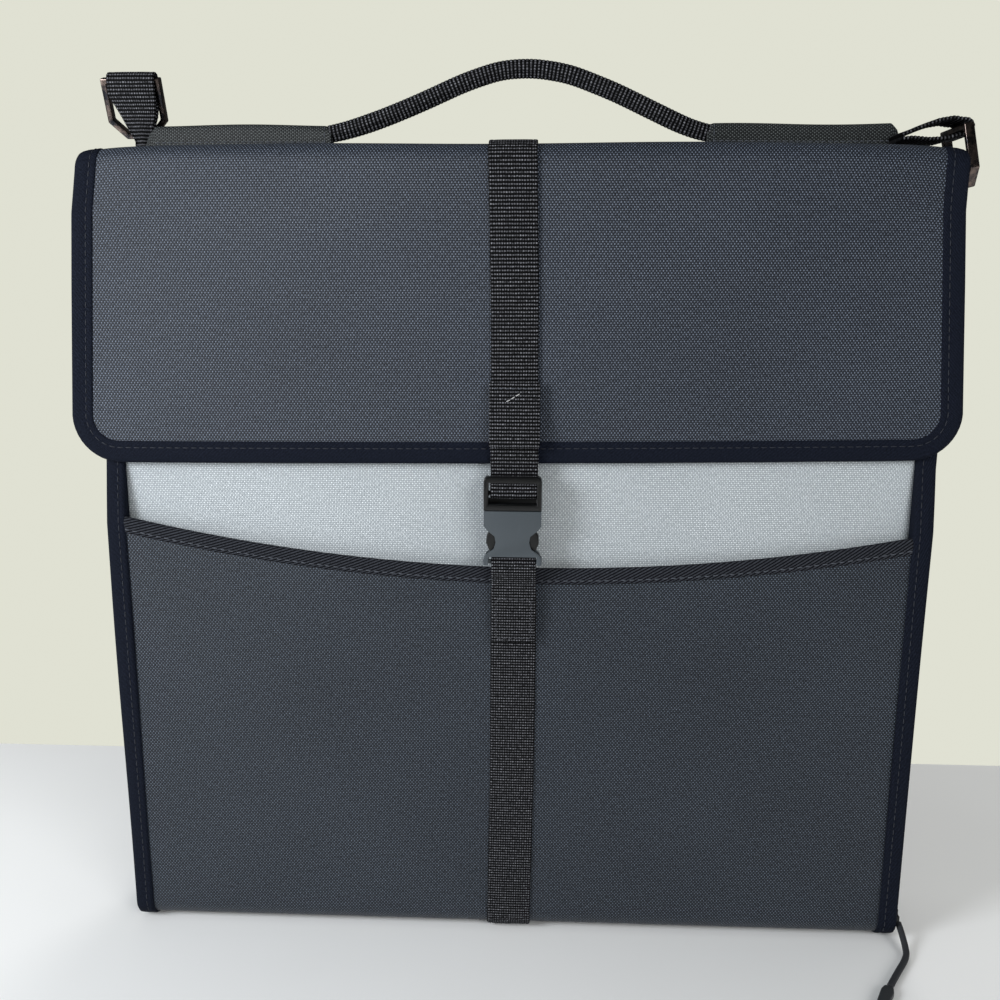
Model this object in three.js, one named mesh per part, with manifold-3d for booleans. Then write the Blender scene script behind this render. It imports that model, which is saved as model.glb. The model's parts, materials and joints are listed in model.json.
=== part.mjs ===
// Soft portfolio case for drawing paper: a zipped shell, a front leaf with a slip pocket, a flap
// held shut by a webbing strap and a side-release buckle, a carry handle and two rings.
// Millimetres. X runs to the wearer's right as the front is faced, the front faces -Y, Z is up.
// The origin is on the surface that the case stands on, under the middle of its main compartment.
import * as THREE from "three";
import { mergeVertices } from "three/addons/utils/BufferGeometryUtils.js";
import Module from "manifold-3d";

const wasm = await Module();
wasm.setup();

// Driving dimensions
const WIDTH = 450;
const LEAF_TOP = 440;
const BODY_TOP = 443;
const BACK_FACE = 24;
const GUSSET_FRONT = -10.8;
const GUSSET_BACK = 18.2;
const CLOTH = 1.6;
const GAP = 0.3;
const WEBBING_WIDTH = 25;
const WEBBING = 1.4;
const ROLL_CENTRE_Y = -15;
const ROLL_CENTRE_Z = 13.3;
const POCKET_RADIUS = 11.6;
const BINDING_WIDTH = 10.3;
const FLAP_BOTTOM = 282;
const FLAP_TOP = 435.6;
const FLAP_HALF_TOP = 227.5;
const FLAP_HALF_BOTTOM = 237.5;
const FLAP_CORNER = 25;
const FLAP_EDGE = 12;
const POCKET_SIDE_TOP = 247.5;
const POCKET_MIDDLE_TOP = 223.7;
const POCKET_EDGE = 9;
const SLEEVE_INNER = 103.8;
const SLEEVE_OUTER = 200;
const SLEEVE_TOP = 462;
const RIDGE_Y = 20.7;
const RING_WIDTH = 32.8;
const RING_HEIGHT = 32;
const RING_DEPTH = 5;
const RING_BAR = 3;
const BUCKLE_Y = -33.1;
const BUCKLE_DEPTH = 8.2;
const BUCKLE_Z = 257.5;
const PULL_CORD_RADIUS = 1.8;
const HANDLE_HALF_WIDTH = 5;
const HANDLE_HALF_DEPTH = 4.2;
const LINING = 1;
const ZIP_DEPTH = 3.4;

const half = WIDTH / 2;
const innerHalf = half - BINDING_WIDTH - GAP;

// Colours and finishes
const finishes = {
  charcoalCloth: [0x32353e, 0.85, 0],
  pocketCloth: [0x262c36, 0.85, 0],
  paleCloth: [0xbec3c5, 0.85, 0],
  edgeTape: [0x14181f, 0.8, 0],
  webbing: [0x1a1b1e, 0.75, 0],
  lining: [0x3a3d42, 0.9, 0],
  board: [0x8a8378, 0.9, 0],
  zip: [0x15171a, 0.6, 0],
  buckle: [0x4b5256, 0.5, 0],
  steel: [0x4a423f, 0.3, 1],
  grip: [0x55595d, 0.55, 0],
};

const portfolio = new THREE.Group();

function add(name, geometry, finish, x = 0, y = 0, z = 0) {
  const [color, roughness, metalness] = finishes[finish];
  const material = new THREE.MeshStandardMaterial({ color, roughness, metalness });
  const mesh = new THREE.Mesh(geometry, material);
  mesh.name = name;
  mesh.position.set(x, y, z);
  portfolio.add(mesh);
  return mesh;
}

// Solid modelling helpers
function toSolid(geometry) {
  const bare = new THREE.BufferGeometry();
  const source = geometry.index ? geometry.toNonIndexed() : geometry;
  bare.setAttribute("position", source.getAttribute("position"));
  const merged = mergeVertices(bare, 1e-4);
  return new wasm.Manifold(
    new wasm.Mesh({
      numProp: 3,
      vertProperties: new Float32Array(merged.attributes.position.array),
      triVerts: new Uint32Array(merged.index.array),
    }),
  );
}

function toGeometry(solid) {
  const mesh = solid.getMesh();
  const geometry = new THREE.BufferGeometry();
  geometry.setAttribute("position", new THREE.BufferAttribute(mesh.vertProperties, 3));
  geometry.setIndex(new THREE.BufferAttribute(mesh.triVerts, 1));
  return geometry;
}

function block(xLow, xHigh, yLow, yHigh, zLow, zHigh) {
  const geometry = new THREE.BoxGeometry(xHigh - xLow, yHigh - yLow, zHigh - zLow);
  return geometry.translate((xLow + xHigh) / 2, (yLow + yHigh) / 2, (zLow + zHigh) / 2);
}

// An outline drawn in X and Z, extruded from yFront back to yBack.
function frontPlate(shape, yFront, yBack) {
  const geometry = new THREE.ExtrudeGeometry(shape, {
    depth: yBack - yFront,
    bevelEnabled: false,
    curveSegments: 8,
  });
  return geometry.rotateX(Math.PI / 2).translate(0, yBack, 0);
}

// An outline drawn in Y and Z, extruded along X between two ends.
function sideProfile(points, xLow, xHigh) {
  const shape = new THREE.Shape(points.map(([y, z]) => new THREE.Vector2(y, z)));
  const geometry = new THREE.ExtrudeGeometry(shape, { depth: xHigh - xLow, bevelEnabled: false });
  const turn = new THREE.Matrix4().makeBasis(
    new THREE.Vector3(0, 1, 0),
    new THREE.Vector3(0, 0, 1),
    new THREE.Vector3(1, 0, 0),
  );
  return geometry.applyMatrix4(turn).translate(xLow, 0, 0);
}

function shapeOf(points) {
  return new THREE.Shape(points.map(([x, z]) => new THREE.Vector2(x, z)));
}

function arc(centreA, centreB, radius, fromDegrees, toDegrees, steps) {
  const points = [];
  for (let i = 0; i <= steps; i += 1) {
    const turn = THREE.MathUtils.degToRad(fromDegrees + ((toDegrees - fromDegrees) * i) / steps);
    points.push([centreA + radius * Math.cos(turn), centreB + radius * Math.sin(turn)]);
  }
  return points;
}

// The closed outline of a strip of the given thickness that follows a centre line.
function stripOutline(centreLine, thickness) {
  const left = [];
  const right = [];
  centreLine.forEach((point, i) => {
    const before = centreLine[Math.max(i - 1, 0)];
    const after = centreLine[Math.min(i + 1, centreLine.length - 1)];
    const alongA = after[0] - before[0];
    const alongB = after[1] - before[1];
    const length = Math.hypot(alongA, alongB);
    const offA = (-alongB / length) * (thickness / 2);
    const offB = (alongA / length) * (thickness / 2);
    left.push([point[0] + offA, point[1] + offB]);
    right.push([point[0] - offA, point[1] - offB]);
  });
  return left.concat(right.reverse());
}

function strap(name, centreLine, thickness = WEBBING) {
  const width = WEBBING_WIDTH / 2;
  return add(name, sideProfile(stripOutline(centreLine, thickness), -width, width), "webbing");
}

// Shell: the back, the gussets and what is sewn to them
function addBack() {
  const reach = half - 5.5;
  const low = 6.4;
  const high = BODY_TOP - 6.5;
  add("back_cover", block(-reach, reach, BACK_FACE - CLOTH, BACK_FACE, low, high), "charcoalCloth");
  add("back_board", block(-reach, reach, 20.1, 22.1, low, high), "board");
  add("back_lining", block(-reach, reach, 18.8, 18.8 + LINING, low, high), "lining");
  for (const [side, sign] of [["left", -1], ["right", 1]]) {
    const ends = [sign * (reach + GAP), sign * (half + 0.4)].sort((a, b) => a - b);
    add(`back_binding_${side}`, block(...ends, 18.5, 24.9, 0, BODY_TOP - GAP), "edgeTape");
  }
  add("back_binding_top", block(-reach, reach, 18.5, 24.9, high + GAP, BODY_TOP - GAP), "edgeTape");
  add("back_binding_bottom", block(-reach, reach, 18.5, 24.9, 1.7, low - GAP), "edgeTape");
}

function addGussets() {
  const inner = half - 0.2 - CLOTH;
  for (const [side, sign] of [["left", -1], ["right", 1]]) {
    const ends = [sign * inner, sign * (inner + CLOTH)].sort((a, b) => a - b);
    const sheet = block(...ends, GUSSET_FRONT, GUSSET_BACK, 0, BODY_TOP - 0.2);
    add(`${side}_gusset`, sheet, "charcoalCloth");
  }
  const reach = inner - GAP;
  const top = BODY_TOP - 0.2;
  add("top_gusset", block(-reach, reach, GUSSET_FRONT, GUSSET_BACK, top - CLOTH, top), "charcoalCloth");
  add("bottom_gusset", block(-reach, reach, -13.5, GUSSET_BACK, 1.7, 1.7 + CLOTH), "pocketCloth");
}

// One half of the three-sided zip: a left, a top and a right chain with its tape.
function addZipHalf(owner, yLow, yHigh, top) {
  const outer = half - 0.7;
  for (const [side, sign] of [["left", -1], ["right", 1]]) {
    const ends = [sign * (outer - ZIP_DEPTH), sign * outer].sort((a, b) => a - b);
    add(`${owner}_zip_${side}`, block(...ends, yLow, yHigh, 4, top - ZIP_DEPTH - GAP), "zip");
  }
  add(`${owner}_zip_top`, block(-outer, outer, yLow, yHigh, top - ZIP_DEPTH, top), "zip");
}

const FOLD_Y = -16.5;
const FOLD_Z = 436.5;
const FOLD_RADIUS = 9.5;
const YOKE_THICKNESS = 2.2;

// The part of the flap that stays on the case: over the top and down to the fold line.
function addYoke() {
  const middle = FOLD_RADIUS - YOKE_THICKNESS / 2;
  const line = arc(FOLD_Y, FOLD_Z, middle, 180, 90, 6);
  line.push([17.3, FOLD_Z + middle]);
  const outline = stripOutline(line, YOKE_THICKNESS);
  add("flap_yoke", sideProfile(outline, -FLAP_HALF_TOP, FLAP_HALF_TOP), "charcoalCloth");
}

function addShellStraps() {
  const overYoke = FOLD_RADIUS + GAP + WEBBING / 2;
  const overTop = arc(FOLD_Y, FOLD_Z, overYoke, 180, 90, 6);
  overTop.push([26.5, FOLD_Z + overYoke]);
  strap("top_strap", overTop);
  strap("back_strap", [[25.9, 0.2], [25.9, FOLD_Z + overYoke - 1.2]]);
  strap("base_strap", [[-13.5, WEBBING / 2], [24.9, WEBBING / 2]]);
}

function addSleeves() {
  const low = 446.4;
  const outline = [
    [SLEEVE_INNER, low],
    [SLEEVE_OUTER + 4, low],
    [SLEEVE_OUTER, SLEEVE_TOP - 2],
    [SLEEVE_OUTER - 4, SLEEVE_TOP],
    [SLEEVE_INNER, SLEEVE_TOP],
  ];
  const front = RIDGE_Y - 2.3;
  const back = RIDGE_Y + 2.3;
  const mirrored = outline.map(([x, z]) => [-x, z]);
  add("right_handle_sleeve", frontPlate(shapeOf(outline), front, back), "charcoalCloth");
  add("left_handle_sleeve", frontPlate(shapeOf(mirrored), front, back), "charcoalCloth");
}

const LEFT_RING_X = -213.3;
const LEFT_RING_Z = 485;
const RIGHT_RING_X = 231.8;
const RIGHT_RING_LEAN = 13;
const RIGHT_RING_Y = 9.5;
const RIGHT_RING_Z = 456.4;
const LOOP_RADIUS = 3.9;

// Left ring tab: webbing folded round the ring's bar, narrowing down to where it is sewn in.
function addLeftTab() {
  const thickness = 1.5;
  const foot = [RIDGE_Y, 453];
  const loop = arc(RIDGE_Y, LEFT_RING_Z, LOOP_RADIUS, -20, 200, 12);
  const line = [[foot[0] + 0.95, foot[1]], [foot[0] + 2.2, 470], ...loop];
  line.push([foot[0] - 2.2, 470], [foot[0] - 0.95, foot[1]]);
  const fold = toSolid(sideProfile(stripOutline(line, thickness), -230, -190));
  const left = LEFT_RING_X - WEBBING_WIDTH / 2;
  const right = LEFT_RING_X + WEBBING_WIDTH / 2;
  const taper = [[left, 496], [left, 477], [-212.5, 453.5], [-206, 453.5], [right, 479], [right, 496]];
  const cutter = toSolid(frontPlate(shapeOf(taper), 0, 40));
  const root = toSolid(
    frontPlate(shapeOf([[-213, 446.4], [-205, 446.4], [-206, 455], [-212.5, 455]]), 18.8, 22.6),
  );
  add("left_ring_tab", toGeometry(fold.intersect(cutter).add(root)), "webbing");
}

// Right ring tab: webbing that arcs out over the top corner and folds round the ring's bar.
function addRightTab() {
  const loop = arc(RIGHT_RING_X, RIGHT_RING_Z, LOOP_RADIUS, 105, -115, 12);
  const line = [[205.5, 454.6], [212, 457.4], [219, 459.8], [226, 460.9], ...loop];
  line.push([223, 450.9], [214, 450.4], [205.5, 451.4]);
  const outline = stripOutline(line, 1.5);
  const geometry = frontPlate(
    shapeOf(outline),
    RIGHT_RING_Y - WEBBING_WIDTH / 2,
    RIGHT_RING_Y + WEBBING_WIDTH / 2,
  );
  add("right_ring_tab", geometry, "webbing");
}

// A ring drawn with its straight bar through the origin and its body hanging down.
function ringGeometry() {
  const wide = RING_WIDTH / 2;
  const top = RING_BAR / 2;
  const chamfer = 9;
  const outline = (inset) => [
    [-wide + inset, top - inset],
    [-wide + inset, top - RING_HEIGHT + chamfer + inset / 2],
    [-wide + chamfer + inset / 2, top - RING_HEIGHT + inset],
    [wide - chamfer - inset / 2, top - RING_HEIGHT + inset],
    [wide - inset, top - RING_HEIGHT + chamfer + inset / 2],
    [wide - inset, top - inset],
  ];
  const shape = shapeOf(outline(0));
  shape.holes.push(new THREE.Path(outline(RING_BAR).map(([x, z]) => new THREE.Vector2(x, z))));
  return frontPlate(shape, -RING_DEPTH / 2, RING_DEPTH / 2);
}

function addRings() {
  const left = add("left_ring", ringGeometry(), "steel", LEFT_RING_X, RIDGE_Y, LEFT_RING_Z);
  left.rotation.x = THREE.MathUtils.degToRad(20);
  const right = add("right_ring", ringGeometry(), "steel", RIGHT_RING_X, RIGHT_RING_Y, RIGHT_RING_Z);
  right.rotation.set(0, -THREE.MathUtils.degToRad(RIGHT_RING_LEAN), Math.PI / 2, "YZX");
}

function addHandle() {
  const route = [
    [-101, 457], [-88, 460.3], [-72, 465.6], [-53, 473], [-28.5, 483.5], [-9, 489.6],
    [9, 490.4], [28, 487.3], [52, 478.2], [77, 466.6], [90, 460.6], [101, 457],
  ];
  const curve = new THREE.CatmullRomCurve3(
    route.map(([x, z]) => new THREE.Vector3(x, RIDGE_Y, z)),
  );
  const section = new THREE.Shape();
  section.absellipse(0, 0, HANDLE_HALF_WIDTH, HANDLE_HALF_DEPTH, 0, Math.PI * 2);
  const geometry = new THREE.ExtrudeGeometry(section, {
    steps: 36,
    curveSegments: 10,
    extrudePath: curve,
  });
  add("handle_grip", geometry, "webbing");
}

// Front leaf: the panel that the zip frees, with the slip pocket
function addLeafPanels() {
  const low = 8;
  const sheet = (yLow, yHigh) => block(-innerHalf, innerHalf, yLow, yHigh, low, LEAF_TOP);
  add("front_lining", sheet(-15.4 - LINING, -15.4), "lining");
  add("front_board", sheet(-18.5, -16.7), "board");
  add("front_panel", sheet(-20.3, -18.8), "paleCloth");
}

function pocketTopAt(x, drop) {
  const share = x / innerHalf;
  return POCKET_MIDDLE_TOP + (POCKET_SIDE_TOP - POCKET_MIDDLE_TOP) * share * share - drop;
}

function pocketTopLine(drop) {
  const points = [];
  const steps = 16;
  for (let i = 0; i <= steps; i += 1) {
    const x = -innerHalf + (2 * innerHalf * i) / steps;
    points.push([x, pocketTopAt(x, drop)]);
  }
  return points;
}

function addPocket() {
  const middle = POCKET_RADIUS - 0.75;
  const line = arc(ROLL_CENTRE_Y, ROLL_CENTRE_Z, middle, 270, 180, 8);
  line.push([ROLL_CENTRE_Y - middle, POCKET_SIDE_TOP]);
  const sheet = toSolid(sideProfile(stripOutline(line, 1.5), -innerHalf, innerHalf));
  const under = [...pocketTopLine(POCKET_EDGE + GAP), [innerHalf + 5, -5], [-innerHalf - 5, -5]];
  const keep = toSolid(frontPlate(shapeOf(under), -60, 20));
  add("front_pocket", toGeometry(sheet.intersect(keep)), "pocketCloth");
  const band = pocketTopLine(0).concat(pocketTopLine(POCKET_EDGE).reverse());
  add("pocket_binding", frontPlate(shapeOf(band), -27.2, -24.4), "edgeTape");
}

function addLeafBindings() {
  const reach = POCKET_RADIUS + 0.3;
  const roll = arc(ROLL_CENTRE_Y, ROLL_CENTRE_Z, reach + 1.4, 270, 180, 6);
  const front = ROLL_CENTRE_Y - reach;
  const profile = [
    [-15.4, 0],
    ...roll.slice(1, 6),
    [front, ROLL_CENTRE_Z + 3],
    [front, 250],
    [-21.7, 278],
    [-21.7, LEAF_TOP],
    [-15.4, LEAF_TOP],
  ];
  for (const [side, sign] of [["left", -1], ["right", 1]]) {
    const ends = [sign * (innerHalf + GAP), sign * half].sort((a, b) => a - b);
    add(`leaf_binding_${side}`, sideProfile(profile, ...ends), "edgeTape");
  }
}

function addLowerStrap() {
  const middle = POCKET_RADIUS + GAP + WEBBING / 2;
  const line = arc(ROLL_CENTRE_Y, ROLL_CENTRE_Z, middle, 270, 180, 8);
  line.push([ROLL_CENTRE_Y - middle, 208]);
  strap("lower_strap", line);
}

// Webbing that runs through the socket half of the buckle and is sewn down over itself.
function addBuckleLoop() {
  const barZ = BUCKLE_Z - 28.4;
  const bar = arc(BUCKLE_Y, barZ, 2.4, 10, 170, 8);
  const behind = [[-29.3, barZ - 46.4], [-29.3, barZ - 13], [-29.8, barZ - 9], [-30.5, barZ - 4.6]];
  const over = [[-35.2, barZ - 5.6], [-31.1, barZ - 12.6], [-30.9, barZ - 46.4]];
  strap("buckle_loop", [...behind, ...bar, ...over], 1.1);
}

// Side-release buckle
function widened(points) {
  return points.concat(points.map(([x, z]) => [-x, z]).reverse());
}

function addSocket() {
  const front = BUCKLE_Y - BUCKLE_DEPTH / 2;
  const back = BUCKLE_Y + BUCKLE_DEPTH / 2;
  const outline = widened([
    [15.4, -29.5], [15.8, -27], [14.2, -24], [10, -20.6], [9, -17], [9.6, -13.6],
    [13.4, -10.6], [15.4, -8], [15.4, 0],
  ]);
  const body = toSolid(frontPlate(shapeOf(outline), front, back));
  const mouth = toSolid(block(-14.4, 14.4, BUCKLE_Y - 2.5, BUCKLE_Y + 2.5, -24.4, 3));
  const slot = toSolid(block(-13, 13, front - 1, back + 1, -27.4, -25));
  const barFront = toSolid(block(-13, 13, front - 1, BUCKLE_Y - 1.1, -36, -25));
  const barBack = toSolid(block(-13, 13, BUCKLE_Y + 1.1, back + 1, -36, -25));
  const made = body.subtract(mouth).subtract(slot).subtract(barFront).subtract(barBack);
  add("buckle_socket", toGeometry(made), "buckle", 0, 0, BUCKLE_Z);
}

function addPlug() {
  const front = BUCKLE_Y - BUCKLE_DEPTH / 2;
  const back = BUCKLE_Y + BUCKLE_DEPTH / 2;
  const frame = widened([[15.5, 0.4], ...arc(13, 15.9, 2.5, 0, 90, 5)]);
  const body = toSolid(frontPlate(shapeOf(frame), front, back));
  const window = toSolid(block(-13, 13, front - 1, back + 1, 3.4, 15.2));
  const passage = toSolid(block(-13, 13, BUCKLE_Y + 0.6, back + 1, 14, 22));
  const crossbar = toSolid(block(-13.5, 13.5, BUCKLE_Y - 1, BUCKLE_Y + 1, 8.1, 10.5));
  const tongue = toSolid(block(-3.4, 3.4, BUCKLE_Y - 2, BUCKLE_Y + 2, -22, 1));
  const floor = toSolid(block(-13.5, 13.5, BUCKLE_Y + 2, back, 3, 6));
  const open = body.subtract(window).subtract(passage);
  const made = open.add(crossbar).add(floor).add(tongue);
  add("buckle_plug", toGeometry(made), "buckle", 0, 0, BUCKLE_Z);
}

function addProngs() {
  const outline = [
    [7, 0], [10.8, 0], [11, -9], [13.8, -13.4], [14.2, -17.6], [12.8, -21.4], [10.6, -23.6],
    [8.6, -23.6], [7.4, -21], [7.6, -11],
  ];
  const mirrored = outline.map(([x, z]) => [-x, z]);
  const front = BUCKLE_Y - 2.1;
  const back = BUCKLE_Y + 2.1;
  add("right_prong", frontPlate(shapeOf(outline), front, back), "buckle", 0, 0, BUCKLE_Z);
  add("left_prong", frontPlate(shapeOf(mirrored), front, back), "buckle", 0, 0, BUCKLE_Z);
}

function addStrapEnd() {
  const barZ = BUCKLE_Z + 9.3;
  const bar = arc(BUCKLE_Y, barZ, 2.35, 0, -180, 8);
  const above = [[-28.75, barZ + 57], [-28.75, barZ + 31], [-30.2, barZ + 17.2], [-30.75, barZ + 9.2]];
  strap("strap_loop", [...above, ...bar, [-35.45, barZ + 5.2]], 1.3);
  strap("strap_tail", [[-30.2, barZ + 58.5], [-30.4, barZ + 43.5], [-31.7, barZ + 25.2]], 1.3);
}

// Flap
function flapOutline(inset) {
  const bottom = FLAP_BOTTOM + inset;
  const corner = Math.max(FLAP_CORNER - inset, 4);
  const low = FLAP_HALF_BOTTOM - inset;
  const high = FLAP_HALF_TOP - inset;
  const turn = arc(low - corner, bottom + corner, corner, 0, -90, 8);
  const right = [[high, FLAP_TOP], ...turn];
  return right.concat(right.map(([x, z]) => [-x, z]).reverse());
}

function addFlap() {
  const inner = flapOutline(FLAP_EDGE + GAP);
  add("flap_lining", frontPlate(shapeOf(inner), -22.1 - LINING, -22.1), "lining");
  add("flap_board", frontPlate(shapeOf(inner), -24.6, -23.4), "board");
  add("flap_panel", frontPlate(shapeOf(inner), -26.2, -24.9), "charcoalCloth");
  const outer = toSolid(frontPlate(shapeOf(flapOutline(0)), -26.5, -22));
  const opening = flapOutline(FLAP_EDGE).map(([x, z]) => [x, z === FLAP_TOP ? FLAP_TOP + 20 : z]);
  const cutter = toSolid(frontPlate(shapeOf(opening), -40, 0));
  add("flap_binding", toGeometry(outer.subtract(cutter)), "edgeTape");
  strap("flap_strap", [[-27.3, FLAP_BOTTOM + 12], [-27.3, FLAP_TOP]], 1.3);
}

// Zip slider, its cord and the grip on the cord
function addZipPull() {
  const body = toSolid(block(half + 0.7, half + 4.2, -17, -9, 4, 15));
  const bail = toSolid(block(half + 1.4, half + 4.6, -19, -12, 7.5, 11.5));
  add("zip_slider", toGeometry(body.add(bail)), "zip");
  const route = [
    [227.9, -21.9, 9.4], [227.9, -25.5, 8.4], [228, -30, 6], [227.9, -35, 3.5], [226.9, -40.5, 2.2],
    [223.4, -46.5, 1.9], [218, -54, 1.9], [212.4, -62, 1.9], [207.6, -69, 1.9],
  ];
  const curve = new THREE.CatmullRomCurve3(route.map((p) => new THREE.Vector3(...p)));
  const section = new THREE.Shape();
  section.absarc(0, 0, PULL_CORD_RADIUS, 0, Math.PI * 2);
  const cord = new THREE.ExtrudeGeometry(section, {
    steps: 24,
    curveSegments: 8,
    extrudePath: curve,
  });
  add("pull_cord", cord, "webbing");
  const outline = shapeOf([
    [0, -2.4], [4, -3.4], [22, -2.9], [24, -1.6], [24, 1.6], [22, 2.9], [4, 3.4], [0, 2.4],
  ]);
  const grip = new THREE.ExtrudeGeometry(outline, { depth: 3.8, bevelEnabled: false });
  const placed = add("pull_grip", grip, "grip", 207.4, -69.4, 0);
  placed.rotation.z = Math.atan2(-8.4, -5);
}

addBack();
addGussets();
addZipHalf("rear", -12.9, -11.1, BODY_TOP - 0.4);
addYoke();
addShellStraps();
addSleeves();
addLeftTab();
addRightTab();
addRings();
addHandle();
addLeafPanels();
addPocket();
addLeafBindings();
addZipHalf("front", -15.1, -13.2, BODY_TOP - 0.4);
addLowerStrap();
addBuckleLoop();
addSocket();
addPlug();
addProngs();
addStrapEnd();
addFlap();
addZipPull();

export default portfolio;
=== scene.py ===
"""Soft portfolio case: cloth, tape, webbing, zip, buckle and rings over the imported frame.

Shapes are worked out in millimetres and written to the meshes in metres. X runs along the case,
the front faces -Y and Z is up. Every cloth piece carries its flat coordinates, in metres, as its
UV map, so that each weave follows its own cloth round the folds.
"""
import json
import math

import bmesh
import bpy
import numpy as np
from mathutils import Matrix, Vector

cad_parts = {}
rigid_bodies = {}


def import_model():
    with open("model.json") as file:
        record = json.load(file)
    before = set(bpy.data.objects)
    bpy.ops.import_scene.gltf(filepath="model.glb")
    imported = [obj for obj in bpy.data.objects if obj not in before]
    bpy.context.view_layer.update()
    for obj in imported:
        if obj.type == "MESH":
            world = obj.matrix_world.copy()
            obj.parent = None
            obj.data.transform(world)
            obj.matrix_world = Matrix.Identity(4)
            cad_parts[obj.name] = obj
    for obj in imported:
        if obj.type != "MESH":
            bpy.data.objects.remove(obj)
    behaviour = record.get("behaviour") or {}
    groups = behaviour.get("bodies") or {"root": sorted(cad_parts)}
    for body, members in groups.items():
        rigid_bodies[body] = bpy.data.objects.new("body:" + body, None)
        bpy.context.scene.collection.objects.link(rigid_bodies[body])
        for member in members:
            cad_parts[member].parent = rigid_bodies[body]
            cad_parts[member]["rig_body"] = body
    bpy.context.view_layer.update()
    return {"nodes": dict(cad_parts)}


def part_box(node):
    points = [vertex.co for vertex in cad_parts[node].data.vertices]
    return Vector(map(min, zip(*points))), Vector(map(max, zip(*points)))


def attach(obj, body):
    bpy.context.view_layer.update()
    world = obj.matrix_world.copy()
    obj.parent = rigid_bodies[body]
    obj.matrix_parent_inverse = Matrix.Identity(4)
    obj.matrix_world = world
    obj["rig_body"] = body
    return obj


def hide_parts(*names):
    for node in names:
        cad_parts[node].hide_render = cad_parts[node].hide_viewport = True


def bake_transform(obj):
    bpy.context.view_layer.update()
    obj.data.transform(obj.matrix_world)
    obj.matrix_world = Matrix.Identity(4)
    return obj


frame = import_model()
MM = 0.001


def corners(node):
    """Lowest and highest corner of a CAD node, in millimetres."""
    low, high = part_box(node)
    return np.array(low) / MM, np.array(high) / MM


# Places taken from the frame
PANEL_LOW, PANEL_HIGH = corners("front_panel")
POCKET_LOW, _ = corners("front_pocket")
FLAP_LOW, FLAP_HIGH = corners("flap_binding")
YOKE_LOW, YOKE_HIGH = corners("flap_yoke")
BACK_LOW, BACK_HIGH = corners("back_cover")
_, GUSSET_HIGH = corners("right_gusset")
TAPE_LOW, TAPE_HIGH = corners("leaf_binding_right")
HALF = TAPE_HIGH[0]
INNER_HALF = PANEL_HIGH[0]
LEAF_TOP = TAPE_HIGH[2]
FRONT = POCKET_LOW[1]
CASE_TOP = YOKE_HIGH[2]

# Sizes that the frame doesn't hold
FOLD_RADIUS = 9.5
FOLD_Y = YOKE_LOW[1] + FOLD_RADIUS
FOLD_Z = CASE_TOP - FOLD_RADIUS
FLAP_CORNER = 25
FLAP_EDGE = 12
FLAP_SHIFT = -2.3
POCKET_MIDDLE = 223.7
ROLL_Y = -15
ROLL_RADIUS = ROLL_Y - FRONT
ROLL_Z = POCKET_LOW[2] + ROLL_RADIUS
CLOTH = 1.2
INNER_CLOTH = 0.9
WEB_WIDTH = 25
WEB_THICKNESS = 1.4
RIB_PITCH = 1.9
LOWER_PITCH = 1.6
STITCH_PITCH = 4.5
THREAD = 0.55
TAPE_STITCH = 3.7
BUCKLE_Y = -33.1
LEFT_BAR = (-213.3, 20.7, 485.0)
RIGHT_BAR = (231.8, 9.5, 456.4)


# Camera
def add_camera():
    """A 36 mm lens before the case, a little above its middle and tilted down."""
    place = (0.01482, -0.55618, 0.37188)
    pan, tilt, lean = 0.0414, -0.2051, -0.0037
    data = bpy.data.cameras.new("camera")
    data.sensor_width = 36
    data.lens = 36
    camera = bpy.data.objects.new("camera", data)
    bpy.context.scene.collection.objects.link(camera)
    turn = Matrix.Rotation(pan, 4, "Z") @ Matrix.Rotation(tilt, 4, "X")
    upright = Matrix.Rotation(lean, 4, "Y") @ Matrix.Rotation(math.pi / 2, 4, "X")
    camera.matrix_world = Matrix.Translation(place) @ turn @ upright
    bpy.context.scene.camera = camera


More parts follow.
